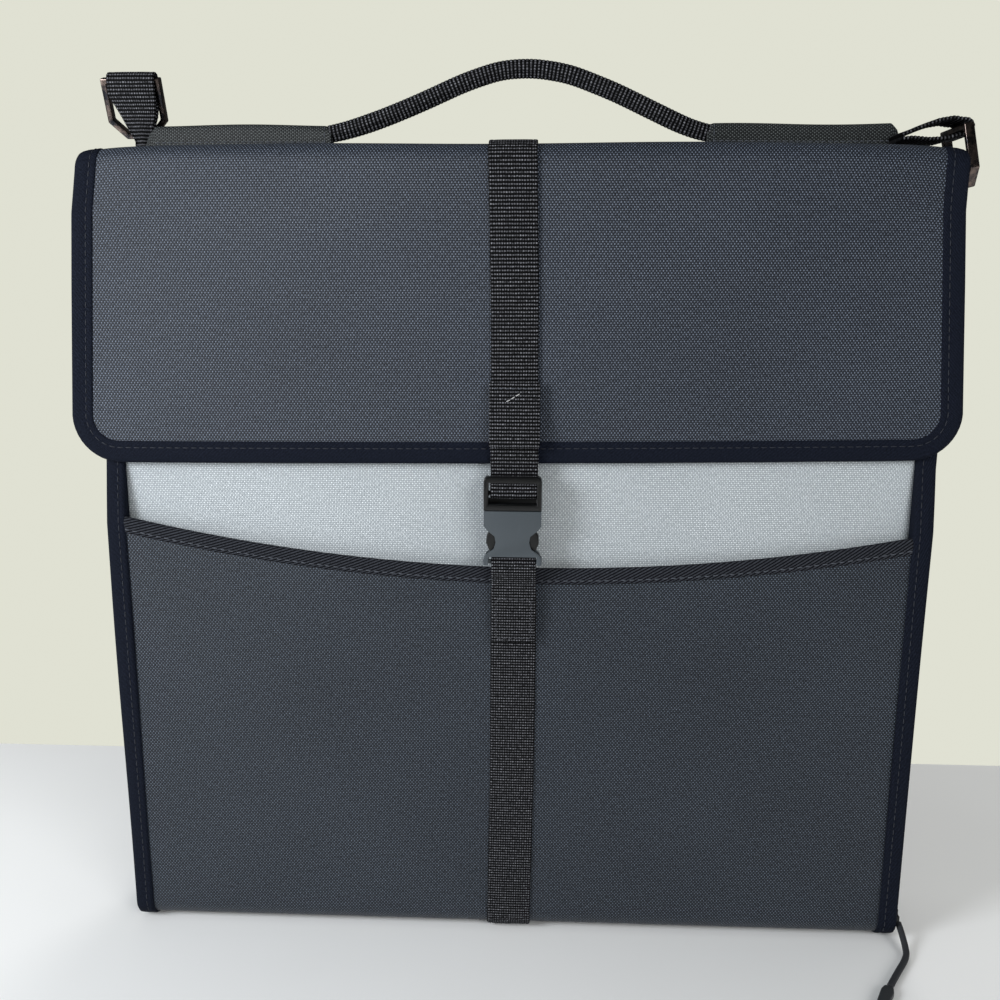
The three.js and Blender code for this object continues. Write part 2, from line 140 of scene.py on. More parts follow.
# Material nodes
class Graph:
    """A material with one Principled shader and short calls for the nodes that feed it."""

    def __init__(self, name, roughness, metallic=0.0, specular=0.5):
        self.material = bpy.data.materials.new(name)
        self.material.use_nodes = True
        self.tree = self.material.node_tree
        self.shader = self.tree.nodes["Principled BSDF"]
        self.shader.inputs["Roughness"].default_value = roughness
        self.shader.inputs["Metallic"].default_value = metallic
        self.shader.inputs["Specular IOR Level"].default_value = specular
        self.where = self.tree.nodes.new("ShaderNodeTexCoord")

    def put(self, socket, value):
        if isinstance(value, bpy.types.NodeSocket):
            self.tree.links.new(value, socket)
        elif value is not None:
            socket.default_value = value

    def node(self, kind, inputs, output=0, **settings):
        """Adds a node, feeds its named or numbered inputs and gives one of its outputs."""
        made = self.tree.nodes.new("ShaderNode" + kind)
        for key, value in settings.items():
            setattr(made, key, value)
        for key, value in inputs.items():
            self.put(made.inputs[key], value)
        return made.outputs[output]

    def math(self, operation, a, b=None, clamp=False):
        return self.node("Math", {0: a, 1: b}, operation=operation, use_clamp=clamp)

    def scaled(self, value, low, high, to_low=0.0, to_high=1.0):
        return self.node("MapRange", dict(enumerate((value, low, high, to_low, to_high))))

    def mix(self, factor, a, b):
        a, b = ((*colour, 1) if isinstance(colour, tuple) else colour for colour in (a, b))
        return self.node("Mix", {0: factor, 6: a, 7: b}, output=2, data_type="RGBA")

    def noise(self, vector, scale, detail=2.0, roughness=0.5):
        settings = {"Vector": vector, "Scale": scale, "Detail": detail, "Roughness": roughness}
        return self.node("TexNoise", settings)

    def stretched(self, vector, scale):
        return self.node("Mapping", {"Vector": vector, "Scale": scale})

    def split(self, vector):
        """The first two parts of a vector."""
        parts = self.node("SeparateXYZ", {0: vector}).node.outputs
        return parts[0], parts[1]

    def bump(self, height, strength, distance):
        """A bump whose distance is in metres."""
        settings = {"Height": height, "Strength": strength, "Distance": distance}
        self.put(self.shader.inputs["Normal"], self.node("Bump", settings))

    def colour(self, value):
        self.put(self.shader.inputs["Base Color"], value)

    def wave(self, value, pitch):
        """Sine of a length in metres, half a wave for each pitch."""
        return self.math("SINE", self.math("MULTIPLY", value, math.pi / pitch))


def woven(name, dark, light, pitch, weft=0.16, dust=0.0, depth=0.0003):
    """Plain weave, with its two pitches in mm: pale crests of warp, dimmer ones of weft, dark gaps."""
    graph = Graph(name, 0.52, specular=0.36)
    flat = graph.where.outputs["UV"]
    u, v = graph.split(flat)
    cell = graph.math("MULTIPLY", graph.wave(u, pitch[0] * MM), graph.wave(v, pitch[1] * MM))
    over = graph.math("POWER", graph.math("MAXIMUM", cell, 0.0), 1.25)
    under = graph.math("POWER", graph.math("MAXIMUM", graph.math("MULTIPLY", cell, -1.0), 0.0), 1.0)
    crest = graph.math("ADD", over, graph.math("MULTIPLY", under, weft))
    yarn = graph.noise(graph.stretched(flat, (1.0, 0.5, 1.0)), 0.8 / (pitch[0] * MM), 3.0, 0.7)
    cloud = graph.scaled(graph.noise(flat, 10.0, 3.0), 0.3, 0.7, -0.1, 0.12)
    uneven = graph.math("ADD", graph.scaled(yarn, 0.3, 0.72, 0.4, 1.5), cloud)
    tone = graph.math("MULTIPLY", crest, uneven, clamp=True)
    shade = graph.mix(tone, dark, light)
    if dust:
        lint = graph.scaled(graph.noise(flat, 330.0, 3.0, 0.7), 0.74, 0.8)
        patch = graph.scaled(graph.noise(flat, 16.0, 4.0, 0.6), 0.66, 0.85, 0.0, 0.35)
        film = graph.math("MULTIPLY", patch, graph.scaled(crest, 0, 1, 0.2, 1.0))
        amount = graph.math("MULTIPLY", graph.math("MAXIMUM", film, lint), dust)
        shade = graph.mix(amount, shade, (0.36, 0.37, 0.38))
    graph.colour(shade)
    graph.bump(graph.math("ADD", over, under), 0.6, depth)
    return graph.material


def twill_tape(name, dark, light, pitch=0.75 * MM, slant=0.35):
    """Folded binding tape: narrow slanting ribs of fine yarn."""
    graph = Graph(name, 0.8, specular=0.06)
    flat = graph.where.outputs["UV"]
    u, v = graph.split(flat)
    slope = graph.math("ADD", u, graph.math("MULTIPLY", v, slant))
    rib = graph.math("ABSOLUTE", graph.wave(slope, pitch))
    yarn = graph.noise(flat, 900.0, 3.0, 0.7)
    tone = graph.math("MULTIPLY", graph.scaled(rib, 0.35, 1.0), graph.scaled(yarn, 0.3, 0.7, 0.3, 1.0))
    graph.colour(graph.mix(tone, dark, light))
    graph.bump(tone, 0.5, 0.00025)
    return graph.material


def webbing_weave(name, dark, light):
    """Ribbed webbing: short yarn floats along each rib, fluffed on the crests, dark in the gaps."""
    graph = Graph(name, 0.78, specular=0.12)
    flat = graph.where.outputs["UV"]
    u, v = graph.split(flat)
    rib = graph.math("ABSOLUTE", graph.wave(v, RIB_PITCH * MM))
    strand = graph.math("ABSOLUTE", graph.wave(u, 1.35 * MM))
    yarn = graph.noise(graph.stretched(flat, (1.0, 0.6, 1.0)), 1100.0, 3.0, 0.7)
    tone = graph.math("MULTIPLY", graph.scaled(rib, 0.5, 1.0), graph.scaled(strand, 0.1, 0.9, 0.3, 1.0))
    tone = graph.math("MULTIPLY", tone, graph.scaled(yarn, 0.32, 0.68, 0.25, 1.15), clamp=True)
    tone = graph.math("POWER", tone, 2.2)
    graph.colour(graph.mix(tone, dark, light))
    graph.bump(graph.math("ADD", strand, yarn), 0.5, 0.00025)
    return graph.material


def moulded(name, colour, roughness, grain=2500.0, scuff=0.1):
    """Moulded plastic or rubber: a fine spark-eroded grain and faint scuffs."""
    graph = Graph(name, roughness)
    place = graph.where.outputs["Object"]
    scratch = graph.noise(graph.stretched(place, (1.0, 1.0, 0.15)), 420.0, 4.0, 0.7)
    paler = tuple(min(1.0, 2.2 * part + 0.02) for part in colour)
    marks = graph.scaled(scratch, 0.55, 0.75, 0.0, scuff)
    graph.colour(graph.mix(marks, colour, paler))
    worn = graph.scaled(scratch, 0, 1, roughness - 0.1, roughness + 0.1)
    graph.put(graph.shader.inputs["Roughness"], worn)
    graph.bump(graph.noise(place, grain, 2.0), 0.12, 0.0001)
    return graph.material


def dark_steel():
    """Black-plated steel, with warm brown patches painted on its faces as a coppery highlight."""
    graph = Graph("plated_steel", 0.25, 1.0)
    place = graph.where.outputs["Object"]
    film = graph.noise(place, 150.0, 4.0, 0.65)
    # painted highlight: random warm brown patches stand in for a coppery reflection on the rings
    painted_glint = graph.scaled(film, 0.42, 0.62)
    graph.colour(graph.mix(painted_glint, (0.035, 0.036, 0.042), (0.20, 0.155, 0.135)))
    graph.put(graph.shader.inputs["Roughness"], graph.scaled(film, 0, 1, 0.16, 0.38))
    graph.bump(graph.noise(place, 260.0, 2.0), 0.12, 0.0002)
    return graph.material


def braided(name, dark, light):
    """Braided cord: two sets of yarns crossing on a slant."""
    graph = Graph(name, 0.7)
    flat = graph.where.outputs["UV"]
    u, v = graph.split(flat)
    one = graph.math("ABSOLUTE", graph.wave(graph.math("ADD", u, v), 1.0 * MM))
    other = graph.math("ABSOLUTE", graph.wave(graph.math("SUBTRACT", u, v), 1.0 * MM))
    tone = graph.math("MAXIMUM", one, other)
    graph.colour(graph.mix(tone, dark, light))
    graph.bump(tone, 0.6, 0.0004)
    return graph.material


def grey_board():
    """Pulp board inside the panels."""
    graph = Graph("pulp_board", 0.92)
    place = graph.where.outputs["Object"]
    fibre = graph.noise(graph.stretched(place, (1.0, 1.0, 0.3)), 700.0, 4.0, 0.7)
    graph.colour(graph.mix(fibre, (0.20, 0.18, 0.15), (0.34, 0.31, 0.27)))
    graph.bump(fibre, 0.3, 0.0002)
    return graph.material


def pale_floor():
    graph = Graph("pale_floor", 0.55)
    place = graph.where.outputs["Object"]
    cloud = graph.noise(place, 3.0, 3.0)
    graph.colour(graph.mix(graph.scaled(cloud, 0.3, 0.7), (0.84, 0.845, 0.85), (0.89, 0.895, 0.90)))
    graph.bump(graph.noise(place, 500.0, 3.0), 0.08, 0.0002)
    return graph.material


GAP = (0.001, 0.0015, 0.004)
CHARCOAL = woven("charcoal_cloth", GAP, (0.172, 0.208, 0.275), (0.87, 1.2), dust=0.5)
POCKET = woven("pocket_cloth", GAP, (0.118, 0.148, 0.192), (0.93, 1.1), dust=0.45)
SLEEVE = woven("sleeve_cloth", (0.002, 0.0025, 0.003), (0.140, 0.156, 0.158), (0.87, 1.1), dust=0.6)
PALE = woven("pale_cloth", (0.25, 0.278, 0.302), (0.83, 0.88, 0.91), (0.93, 1.1), weft=0.4)
LINING = woven("lining_cloth", (0.02, 0.021, 0.024), (0.16, 0.17, 0.19), (0.45, 0.45), depth=0.0001)
TAPE = twill_tape("binding_tape", (0.001, 0.0015, 0.003), (0.019, 0.024, 0.042))
ZIP_TAPE = twill_tape("zip_tape", (0.002, 0.002, 0.003), (0.022, 0.024, 0.03), 0.6 * MM)
POCKET_TAPE = twill_tape("pocket_tape", (0.001, 0.001, 0.002), (0.055, 0.060, 0.073), 1.7 * MM, 0.5)
WEBBING = webbing_weave("webbing_weave", (0.0006, 0.0006, 0.0008), (0.26, 0.265, 0.295))
DARK_THREAD = moulded("dark_thread", (0.018, 0.021, 0.03), 0.7, 6000.0)
GREY_THREAD = moulded("grey_thread", (0.07, 0.078, 0.095), 0.7, 6000.0)
WEB_THREAD = moulded("web_thread", (0.04, 0.042, 0.05), 0.7, 6000.0)
PALE_THREAD = moulded("pale_thread", (0.42, 0.42, 0.42), 0.7, 6000.0)
PLASTIC = moulded("buckle_plastic", (0.05, 0.061, 0.071), 0.48)
DARK_PLASTIC = moulded("buckle_frame_plastic", (0.0015, 0.0017, 0.002), 0.36)
ZIP_PLASTIC = moulded("zip_plastic", (0.006, 0.006, 0.008), 0.4)
RUBBER = moulded("grip_rubber", (0.03, 0.033, 0.036), 0.5)
STEEL = dark_steel()
BOARD = grey_board()
CORD = braided("pull_braid", (0.003, 0.003, 0.004), (0.03, 0.032, 0.038))


# Mesh building
def piece(name, points, faces, flat, flat_faces, material):
    """A smooth mesh from points in mm, with its flat coordinates, also in mm, as its UV map."""
    mesh = bpy.data.meshes.new(name)
    mesh.from_pydata((np.asarray(points) * MM).tolist(), [], faces)
    layer = mesh.uv_layers.new(name="flat")
    order = np.concatenate([np.asarray(face) for face in flat_faces])
    layer.data.foreach_set("uv", (np.asarray(flat)[order] * MM).astype(np.float32).ravel())
    body = bmesh.new()
    body.from_mesh(mesh)
    bmesh.ops.recalc_face_normals(body, faces=body.faces)
    body.to_mesh(mesh)
    body.free()
    mesh.polygons.foreach_set("use_smooth", [True] * len(mesh.polygons))
    mesh.materials.append(material)
    made = bpy.data.objects.new(name, mesh)
    bpy.context.scene.collection.objects.link(made)
    return made


def loft(name, loops, flat, material, strip_caps=False, ring=False):
    """A closed body through loops of points, rows x columns x 3. Flat has one more column."""
    rows, columns, _ = loops.shape
    wide = columns + 1
    faces = []
    flat_faces = []
    for i in range(rows if ring else rows - 1):
        here = i * columns
        after = (i + 1) % rows * columns
        for j in range(columns):
            beside = (j + 1) % columns
            faces.append([here + j, after + j, after + beside, here + beside])
            flat_faces.append([i * wide + j, (i + 1) * wide + j, (i + 1) * wide + j + 1, i * wide + j + 1])
    caps = [range(columns)]
    if strip_caps:
        caps = [(j, j + 1, columns - 2 - j, columns - 1 - j) for j in range(columns // 2 - 1)]
    for i in () if ring else (0, rows - 1):
        for cap in caps:
            faces.append([i * columns + k for k in cap])
            flat_faces.append([i * wide + k for k in cap])
    return piece(name, loops.reshape(-1, 3), faces, flat.reshape(-1, 2), flat_faces, material)


def grid(x, y, z):
    """Points, rows x columns x 3, from arrays that spread over each other."""
    return np.stack(np.broadcast_arrays(x, y, z), axis=2).astype(float)


def flat_map(over, along):
    """Flat coordinates from the distances over a strip and along it."""
    return np.stack(np.broadcast_arrays(over, along), axis=2)


def always(*way):
    """A direction that is the same at every point of an array."""
    return lambda points: np.broadcast_to(np.array(way, float), points.shape)


to_front = always(0, -1, 0)
to_back = always(0, 1, 0)


def arc(centre, radius, start, end, count):
    """Points on an arc about a centre, from one angle to another in degrees."""
    turns = np.radians(np.linspace(start, end, count))
    return [(centre[0] + radius * math.cos(turn), centre[1] + radius * math.sin(turn)) for turn in turns]


def folded(profile, blunt, behind=1.0):
    """A folded tape's section: the profile before, its mirror behind and a blunt edge."""
    return np.array([(0, blunt), *profile, *[(a, -behind * b) for a, b in profile[::-1]], (0, -blunt)])


def lengths(points):
    """Distance along a line of points, from its start to each point."""
    steps = np.linalg.norm(np.diff(points, axis=0), axis=1)
    return np.concatenate([[0.0], np.cumsum(steps)])


def points_at(line, along, where):
    """Points of a line at one or more distances along it."""
    return np.stack([np.interp(where, along, line[:, k]) for k in range(line.shape[1])], axis=-1)


def resampled(points, step):
    """The same line with even steps, and the distance along it at each."""
    points = np.asarray(points, float)
    along = lengths(points)
    count = max(2, int(round(along[-1] / step)) + 1)
    even = np.linspace(0, along[-1], count)
    return points_at(points, along, even), even


def rounded(points, step, radius):
    """An even line whose corners are eased over about the given radius."""
    line, _ = resampled(points, step)
    reach = max(1, int(radius / step))
    window = np.hanning(2 * reach + 3)[1:-1]
    window /= window.sum()
    padded = np.concatenate([line[:1].repeat(reach, 0), line, line[-1:].repeat(reach, 0)])
    padded[:reach] += (line[0] - line[1]) * np.arange(reach, 0, -1)[:, None]
    padded[-reach:] += (line[-1] - line[-2]) * np.arange(1, reach + 1)[:, None]
    return np.stack([np.convolve(column, window, "valid") for column in padded.T], axis=1)


def tangents(points, ring=False):
    if ring:
        ahead = np.roll(points, -1, axis=0) - np.roll(points, 1, axis=0)
    else:
        ahead = np.gradient(points, axis=0)
    return ahead / np.linalg.norm(ahead, axis=1)[:, None]


def cloth_sheet(name, front, thickness, flat, material, inward):
    """A sheet of cloth from its outer surface, rows x columns x 3, thickened towards inward."""
    down = np.gradient(front, axis=0)
    over = np.gradient(front, axis=1)
    normal = np.cross(down, over)
    normal /= np.linalg.norm(normal, axis=2)[:, :, None] + 1e-12
    facing = np.sign((normal * inward(front)).sum(axis=2))[:, :, None]
    back = front + normal * facing * thickness
    loops = np.concatenate([front, back[:, ::-1]], axis=1)
    spread = np.concatenate([flat, flat[:, ::-1], flat[:, :1]], axis=1)
    return loft(name, loops, spread, material, strip_caps=True)


def swept(name, path, out, side, section, material, ring=False):
    """A section of (side, out) points carried along a path; flat runs round it and along it."""
    loops = path[:, None] + side[:, None] * section[None, :, :1] + out[:, None] * section[None, :, 1:]
    round_it = lengths(np.concatenate([section, section[:1]]))
    along = lengths(path)
    if ring:
        along = np.append(along, along[-1] + np.linalg.norm(path[0] - path[-1]))
    return loft(name, loops, flat_map(round_it, along[:, None]), material, ring=ring)


def ripple(x, z, wave, shift):
    """Slow uneven hills between -1 and 1."""
    first = np.sin(x / wave + shift) * np.cos(z / (1.4 * wave) + 2.1 * shift)
    second = np.sin((x + 0.6 * z) / (0.7 * wave) + 3.3 * shift)
    third = np.cos((0.5 * x - z) / (0.9 * wave) + 1.7 * shift)
    return (first + 0.6 * second + 0.5 * third) / 2.1


def stitches(name, runs, pitch=STITCH_PITCH, length=3.3, radius=THREAD / 2, material=DARK_THREAD):
    """Short sunk threads along each run. A run is a line of points and its outward directions."""
    turns = np.linspace(0, 2 * math.pi, 7)[:-1]
    dips = [(-0.5, 0.25, -0.7), (-0.36, 0.9, 0.0)]
    stations = [*dips, (0.0, 1.0, 0.25), *[(-share, wide, lift) for share, wide, lift in dips[::-1]]]
    points = []
    faces = []
    for path, out in runs:
        along = lengths(path)
        count = int(along[-1] / pitch)
        for number in range(count):
            middle = (number + 0.5) * along[-1] / count
            centre, ahead, behind = points_at(path, along, np.array([middle, middle + 1, middle - 1]))
            up = points_at(out, along, middle)
            up /= np.linalg.norm(up)
            forward = (ahead - behind) / np.linalg.norm(ahead - behind)
            aside = np.cross(up, forward)
            start = len(points)
            for share, wide, lift in stations:
                for turn in turns:
                    offset = aside * math.cos(turn) * wide + up * (math.sin(turn) * wide + lift)
                    points.append(centre + forward * share * length + offset * radius)
            for a in range(start, len(points) - 6):
                b = a + 1 if (a - start) % 6 < 5 else a - 5
                faces.append([a, a + 6, b + 6, b])
            faces.append([start + k for k in range(6)])
            faces.append([start + 24 + k for k in range(6)])
    points = np.array(points)
    made = piece(name, points, faces, points[:, [0, 2]], faces, material)
    return made


def softened(node, radius, material, segments=2):
    """The node's own shape with its flat faces merged and its edges rounded."""
    source = frame["nodes"][node]
    made = bpy.data.objects.new(node + "_soft", source.data.copy())
    bpy.context.scene.collection.objects.link(made)
    body = bmesh.new()
    body.from_mesh(made.data)
    bmesh.ops.remove_doubles(body, verts=body.verts, dist=1e-6)
    bmesh.ops.dissolve_limit(body, angle_limit=0.02, verts=body.verts, edges=body.edges)
    sharp = [edge for edge in body.edges if edge.is_manifold and edge.calc_face_angle() > 0.5]
    bmesh.ops.bevel(
        body, geom=sharp, offset=radius * MM, segments=segments, affect="EDGES", profile=0.5,
        clamp_overlap=True,
    )
    body.to_mesh(made.data)
    body.free()
    made.data.materials.clear()
    made.data.materials.append(material)
    made.data.polygons.foreach_set("use_smooth", [True] * len(made.data.polygons))
    with bpy.context.temp_override(object=made, active_object=made, selected_editable_objects=[made]):
        bpy.ops.object.shade_auto_smooth(angle=0.6)
    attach(made, source["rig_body"])
    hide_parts(node)
    return made


# Flap
def half_width(z):
    """Half the flap's width at a height."""
    low = FLAP_HIGH[0]
    high = YOKE_HIGH[0]
    share = np.clip((FOLD_Z - z) / (FOLD_Z - FLAP_LOW[2] - FLAP_CORNER), 0, 1)
    return high + (low - high) * share


def fold_line(offset, back, bottom):
    """Y and Z from the ridge forward over the top, round the fold and down the front."""
    reach = FOLD_RADIUS + offset
    bend = arc((FOLD_Y, FOLD_Z), reach, 90, 180, 13)
    return [(back, FOLD_Z + reach), *bend, (FOLD_Y - reach, bottom)]


def flap_shift(z):
    """How far the flap hangs to the left at a height."""
    return FLAP_SHIFT * np.clip((FOLD_Z + 8 - z) / 30, 0, 1)


def flap_settle(points):
    """How the soft flap lies: its top bows up between the corners and its hem hangs a little askew."""
    settled = points.copy()
    x, y, z = points[..., 0], points[..., 1], points[..., 2]
    share = np.abs(x) / YOKE_HIGH[0]
    top = np.clip((z - FOLD_Z + 60) / 60, 0, 1)
    settled[..., 2] += top * (1.0 - 1.5 * share**4 - 3.2 * share**18)
    low = np.clip((FOLD_Z - z) / (FOLD_Z - FLAP_LOW[2]), 0, 1)
    settled[..., 2] += low * (0.012 * x + 1.2 * share**2 - 0.6)
    settled[..., 0] += flap_shift(z)
    front = np.clip((FOLD_Z + 4 - z) / 30, 0, 1) * np.clip((-y - 15) / 8, 0, 1)
    settled[..., 1] -= front * 0.45 * (1 + ripple(x, z, 55, 0.7))
    crown = np.clip((z - FOLD_Z - 4) / 4, 0, 1)
    settled[..., 2] += crown * 0.5 * ripple(x, y * 3, 38, 1.9)
    return settled


def moved(made, change):
    """Passes the points of a mesh, in mm, through a function of the whole array."""
    points = np.array([vertex.co for vertex in made.data.vertices]) / MM
    made.data.vertices.foreach_set("co", (change(points) * MM).astype(np.float32).ravel())
    made.data.update()


def fold_blend(made):
    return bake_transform(made)


def add_flap_cover():
    """One cloth over the top, the fold and the front of the flap."""
    tuck = 5
    hem = FLAP_LOW[2] + FLAP_EDGE - 4
    line, along = resampled(fold_line(-0.2, YOKE_HIGH[1] + 1.5, hem), 2.5)
    share = np.linspace(-1, 1, 121)
    reach = half_width(line[:, 1]) - tuck
    corner = FLAP_CORNER - tuck
    drop = np.clip(hem + corner - line[:, 1], 0, corner)
    reach -= corner - np.sqrt(np.maximum(corner**2 - drop**2, 0))
    front = grid(reach[:, None] * share, line[:, :1], line[:, 1:])
    flat = flat_map(front[..., 0], along[:, None])
    made = cloth_sheet("flap_cover", front, CLOTH, flat, CHARCOAL, flap_inward)
    moved(made, flap_settle)
    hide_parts("flap_yoke", "flap_panel")
    fold_blend(made)


def flap_inward(front):
    """From the flap's cloth towards the inside of the fold."""
    y, z = front[..., 1], front[..., 2]
    way = np.zeros_like(front)
    way[..., 1] = np.where(y > FOLD_Y, 0, FOLD_Y + 6 - y)
    way[..., 2] = np.where(z < FOLD_Z, 0, FOLD_Z - z)
    return way


def flap_edge(inset, offset, back):
    """The flap's edge line: along the left end, round the hem and up the right end."""
    hem = FLAP_LOW[2] + inset
    corner = FLAP_CORNER - inset
    side = fold_line(offset, back, hem + corner)
    right = [(half_width(z) - inset, y, z) for y, z in side]
    front = side[-1][0]
    middle = FLAP_HIGH[0] - inset - corner
    right += [(x, front, z) for x, z in arc((middle, hem + corner), corner, 0, -90, 12)[1:]]
    left = [(-x, y, z) for x, y, z in right]
    return np.array(left + right[::-1])


def flap_frames(back):
    """The flap's outer edge in short even steps, and the inward and outward directions along it."""
    outer = flap_edge(0, 0, back)
    inner = flap_edge(10, 0, back)
    raised = flap_edge(0, 4, back)
    counts = np.ceil(np.linalg.norm(np.diff(outer, axis=0), axis=1) / 1.5).astype(int)

    def dense(line):
        parts = [np.linspace(a, b, n, endpoint=False) for a, b, n in zip(line[:-1], line[1:], counts)]
        return np.concatenate(parts + [line[-1:]])

    outer, inner, raised = dense(outer), dense(inner), dense(raised)
    ahead = tangents(outer)
    side = inner - outer
    side -= ahead * (side * ahead).sum(axis=1)[:, None]
    side /= np.linalg.norm(side, axis=1)[:, None]
    out = np.cross(ahead, side)
    out *= np.sign((out * (raised - outer)).sum(axis=1))[:, None]
    return outer, side, out


def add_flap_trim():
    """Binding tape folded over the flap's edge, with its stitch line."""
    edge, side, out = flap_frames(YOKE_HIGH[1] - 1)
    middle = edge - out * 2.2
    outer = [(0.3, 1.5), (1.0, 2.25), (2.4, 2.6), (5.5, 2.7), (7.6, 2.5)]
    sewn_down = [(8.3, 2.3), (9.0, 2.5), (11, 2.5), (11.9, 2.1)]
    made = swept("flap_trim", middle, out, side, folded(outer + sewn_down, 0.6), TAPE)
    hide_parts("flap_binding")
    seam = middle + side * (FLAP_EDGE - TAPE_STITCH)
    sewn = stitches("flap_trim_stitches", [(seam + out * 2.45, out), (seam - out * 2.45, -out)])
    for soft in (made, sewn):
        moved(soft, flap_settle)
        fold_blend(soft)


def add_flap_inside():
    """Lining on the back of the flap; its board stays as the frame has it."""
    low, high = corners("flap_lining")
    rows = np.linspace(high[2], low[2] + 1, 60)
    corner = 13
    drop = np.clip(low[2] + corner - rows, 0, corner)
    reach = half_width(rows) - FLAP_EDGE - (corner - np.sqrt(corner**2 - drop**2))
    back = high[1]
    made = flat_cloth("flap_inner_lining", rows, 90, reach, back, INNER_CLOTH, LINING, 1, FLAP_SHIFT)
    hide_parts("flap_lining")
    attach(made, "flap")


def flat_cloth(name, rows, columns, reach, y, thickness, material, outward, shift=0.0, hills=0.35):
    """An upright cloth with slow hills, reaching the given half width at each row."""
    share = np.linspace(-1, 1, columns)
    x = np.broadcast_to(reach, rows.shape)[:, None] * share + shift
    z = rows[:, None]
    front = grid(x, y + outward * hills * (1 - share**6) * ripple(x, z, 60, y), z)
    return cloth_sheet(name, front, thickness, front[..., [0, 2]], material, always(0, -outward, 0))


# Front leaf
def pocket_top(x):
    """Height of the pocket's mouth, lowest in the middle and a little higher on the left."""
    share = x / INNER_HALF
    return POCKET_MIDDLE + 22.8 * share**2 - 3.2 * share


def add_grey_panel():
    rows = np.linspace(LEAF_TOP, PANEL_LOW[2], 120)
    y = PANEL_LOW[1] - 0.2
    made = flat_cloth("grey_panel", rows, 90, INNER_HALF + 2, y, CLOTH, PALE, -1, hills=0.5)
    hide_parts("front_panel")
    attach(made, "front_leaf")


def pocket_bulge(x, z):
    """How far the slack pocket stands forward: most in the middle, drawn in beside the buckle."""
    share = np.clip(np.abs(x) / INNER_HALF, 0, 1)
    hang = np.clip((z - ROLL_Z) / 40, 0, 1) * (1 - share**8)
    slack = 0.35 + 0.75 * ripple(x, z, 62, 2.4) + 0.3 * ripple(x, z, 23, 0.9)
    mouth = np.clip((pocket_top(x) - z) / 35, 0, 1)
    drawn = np.exp(-((z - 203) / 13) ** 2) * np.exp(-((np.abs(x) - 50) / 42) ** 2)
    return hang * (mouth * slack + (1 - mouth) * 0.25 - 0.9 * drawn)


def add_pocket_cloth():
    """The slip pocket's cloth, rolled under the front edge and on across the bottom of the case."""
    bottom = ROLL_Z - ROLL_RADIUS
    roll = arc((ROLL_Y, ROLL_Z), ROLL_RADIUS, 180, 270, 12)
    below, along = resampled([*roll, (ROLL_Y + 4, bottom), (GUSSET_HIGH[1] + 1, bottom)], 1.5)
    x = np.linspace(-1, 1, 111) * (INNER_HALF + 1.5)
    mouth = pocket_top(x) - 4
    upright = mouth + (ROLL_Z - mouth) * np.linspace(0, 1, 100)[:-1, None]
    y = np.append(np.full(len(upright), FRONT), below[:, 0])[:, None]

    def under(levels):
        return np.concatenate([upright, np.broadcast_to(levels[:, None], (len(levels), len(x)))])

    front = grid(x, y, under(below[:, 1]))
    front[..., 1] -= pocket_bulge(front[..., 0], front[..., 2])
    flat = flat_map(x, under(ROLL_Z - along))
    made = cloth_sheet("pocket_front", front, CLOTH, flat, POCKET, roll_inward)
    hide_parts("front_pocket", "bottom_gusset")
    base_blend(made)


def roll_inward(front):
    """From the pocket's cloth towards the inside of the case."""
    way = np.zeros_like(front)
    way[..., 1] = np.clip(ROLL_Y - front[..., 1], 0, None)
    way[..., 2] = np.clip(ROLL_Z - front[..., 2], 0, None)
    return way


def base_blend(made):
    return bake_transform(made)


def add_pocket_tape():
    """Slanting twill tape over the pocket's mouth, sewn along its lower edge."""
    low, high = corners("pocket_binding")
    x = np.linspace(-INNER_HALF, INNER_HALF, 240)
    middle_y = (low[1] + high[1]) / 2
    path = np.stack([x, np.full_like(x, middle_y), pocket_top(x)], axis=1)
    path[:, 1] -= pocket_bulge(x, pocket_top(x) - 4)
    ahead = tangents(path)
    out = to_front(path)
    side = np.cross(out, ahead)
    side *= -np.sign(side[:, 2])[:, None]
    crown = [(0.1, 0.9), (0.7, 1.35), (2.5, 1.6), (5.6, 1.6)]
    hem = [(6.9, 1.3), (7.8, 1.5), (8.8, 1.2), (9.1, 0.8)]
    made = swept("pocket_tape", path, out, side, folded(crown + hem, 0.3, behind=0.8), POCKET_TAPE)
    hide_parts("pocket_binding")
    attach(made, "front_leaf")
    seam = path + side * 6.9 + out * 1.35
    sewn = stitches("pocket_tape_stitches", [(seam, out)], length=3.0, material=GREY_THREAD)
    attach(sewn, "front_leaf")


def leaf_face(z):
    """Y of the side binding's front at a height: roll, pocket's plane, then back to the panel's."""
    reach = ROLL_Y - TAPE_LOW[1]
    down = np.clip(ROLL_Z + 0.05 - z, 0, reach)
    roll = ROLL_Y - np.sqrt(np.maximum(reach**2 - down**2, 0))
    above = np.interp(z, [246, 262, 280], [0.0, 2.2, 5.0])
    return roll + above


